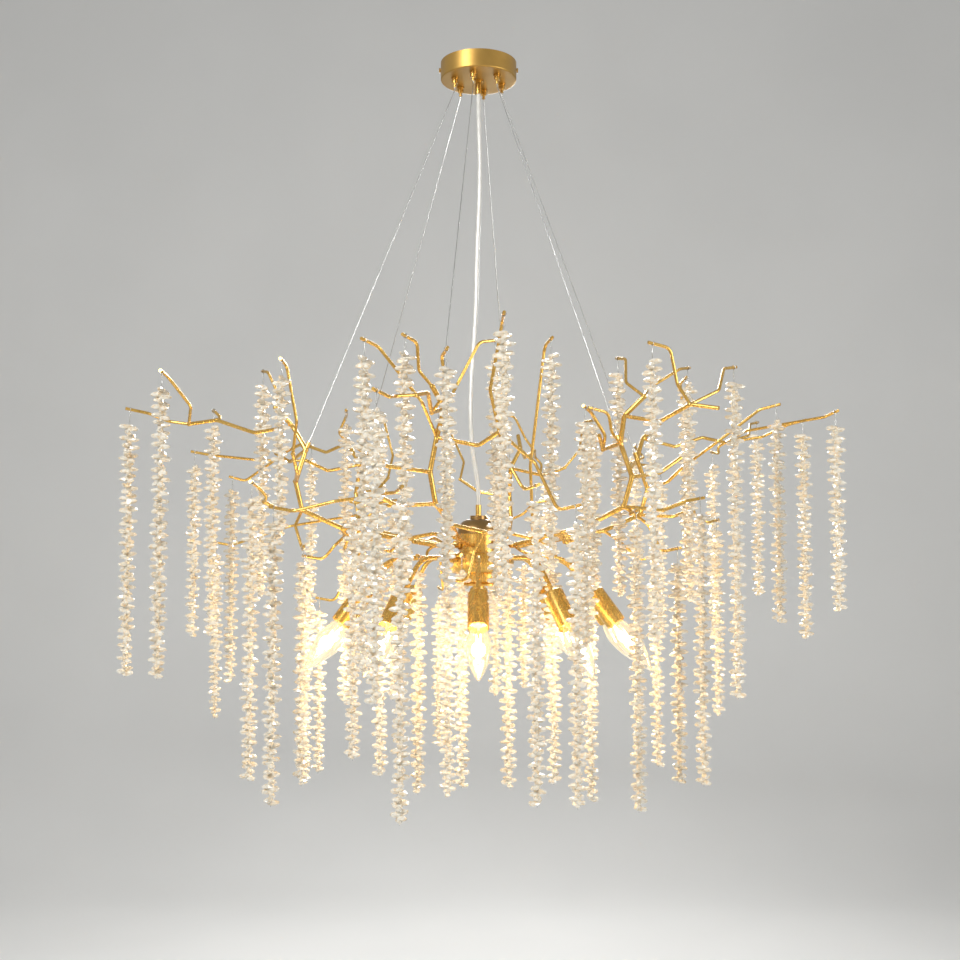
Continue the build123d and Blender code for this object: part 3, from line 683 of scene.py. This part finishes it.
# ---------------------------------------------------------------- power cord
curve = bpy.data.curves.new("supply_lead", "CURVE")
curve.dimensions = "3D"
curve.bevel_depth = CORD_DIAMETER / 2
curve.bevel_resolution = 5
curve.use_fill_caps = True
curve.resolution_u = 16
spline = curve.splines.new("NURBS")
spline.points.add(len(CORD_ROUTE) - 1)
for point, place in zip(spline.points, CORD_ROUTE):
    point.co = (*place, 1)
spline.order_u = 3
spline.use_endpoint_u = True
curve.materials.append(materials["cord_jacket"])
lead = put("supply_lead", curve)
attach(lead, "fixture")
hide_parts("power_cord")


# ---------------------------------------------------------------- stage
def seen_share(tree, hidden, seen):
    """A value that is hidden for light itself and seen for the eye, gloss and glass."""
    paths = tree.nodes.new("ShaderNodeLightPath")
    most = paths.outputs["Is Camera Ray"]
    for name in ("Is Glossy Ray", "Is Transmission Ray"):
        either = tree.nodes.new("ShaderNodeMath")
        either.operation = "MAXIMUM"
        tree.links.new(most, either.inputs[0])
        tree.links.new(paths.outputs[name], either.inputs[1])
        most = either.outputs[0]
    spread = tree.nodes.new("ShaderNodeMapRange")
    spread.inputs["To Min"].default_value = hidden
    spread.inputs["To Max"].default_value = seen
    tree.links.new(most, spread.inputs["Value"])
    return spread.outputs["Result"]


def stage_material():
    """Pale matt paper, which far from the object fades into the world around it."""
    maker = Maker("stage_floor")
    maker.set(Roughness=0.9, Specular_IOR_Level=0.0, Emission_Color=STUDIO_WHITE)
    distance = maker.add("ShaderNodeVectorMath", operation="DISTANCE")
    maker.link(maker.place, distance.inputs[0])
    distance.inputs[1].default_value = STAGE_CENTRE
    fade = maker.add("ShaderNodeMapRange", interpolation_type="SMOOTHSTEP")
    fade.inputs["From Min"].default_value = STAGE_FADE[0]
    fade.inputs["From Max"].default_value = STAGE_FADE[1]
    maker.link(distance.outputs["Value"], fade.inputs["Value"])
    far = fade.outputs["Result"]
    near_colour = maker.ramp(maker.noise(scale=1.5, detail=2), PAPER_DARK, PAPER_LIGHT)
    paper = maker.add("ShaderNodeMixRGB")
    maker.link(far, paper.inputs["Fac"])
    maker.link(near_colour, paper.inputs["Color1"])
    paper.inputs["Color2"].default_value = BLACK
    maker.colour(paper.outputs["Color"])
    glow = maker.add("ShaderNodeMapRange")
    glow.inputs["To Min"].default_value = STAGE_GLOW
    glow.inputs["To Max"].default_value = WORLD_SEEN
    maker.link(far, glow.inputs["Value"])
    strength = maker.add("ShaderNodeMath", operation="MULTIPLY")
    maker.link(seen_share(maker.tree, 0, 1), strength.inputs[0])
    maker.link(glow.outputs["Result"], strength.inputs[1])
    maker.link(strength.outputs["Value"], maker.shader.inputs["Emission Strength"])
    return maker.material


def backdrop():
    """A plain floor that curves up into a backdrop behind the object."""
    foot = BACKDROP - BACKDROP_CURVE
    run = [(-STAGE_HALF, FLOOR_LEVEL), (foot, FLOOR_LEVEL)]
    for step in range(1, BACKDROP_STEPS + 1):
        turn = step / BACKDROP_STEPS * math.pi / 2
        run.append((
            foot + BACKDROP_CURVE * math.sin(turn),
            FLOOR_LEVEL + BACKDROP_CURVE * (1 - math.cos(turn)),
        ))
    run.append((BACKDROP, BACKDROP_TOP))
    vertices = [(side * STAGE_HALF, y, z) for y, z in run for side in (-1, 1)]
    faces = [[2 * row, 2 * row + 1, 2 * row + 3, 2 * row + 2] for row in range(len(run) - 1)]
    stage = Mesh()
    stage.add(vertices, faces)
    made = stage.finished("stage_floor", stage_material())


backdrop()

# ---------------------------------------------------------------- light
for name, place, diameter, power in LIGHTS:
    disc = bpy.data.lights.new(name, "AREA")
    disc.shape = "DISK"
    disc.size = diameter
    disc.energy = power
    light = put(name, disc)
    light.location = place
    towards = Vector(LIGHT_TARGET) - Vector(place)
    light.rotation_euler = towards.to_track_quat("-Z", "Y").to_euler()
for number, place in enumerate(lamp_places, 1):
    glow = bpy.data.lights.new(f"lamp_{number}", "POINT")
    glow.energy = LAMP_POWER
    glow.color = LAMP_COLOUR
    glow.shadow_soft_size = LAMP_RADIUS
    put(f"lamp_{number}", glow).location = place

world = bpy.data.worlds.new("studio")
world.use_nodes = True
bpy.context.scene.world = world
tree = world.node_tree
background = tree.nodes["Background"]
tree.links.new(seen_share(tree, WORLD_LIGHT, WORLD_SEEN), background.inputs["Strength"])
background.inputs["Color"].default_value = STUDIO_WHITE

# ---------------------------------------------------------------- camera
camera_data = bpy.data.cameras.new("camera")
camera_data.lens = CAMERA_LENS
camera_data.sensor_width = CAMERA_SENSOR
camera = put("camera", camera_data)
camera.location = CAMERA_PLACE
camera.rotation_euler = CAMERA_TURN
bpy.context.scene.camera = camera
bpy.context.scene.view_settings.view_transform = "Standard"
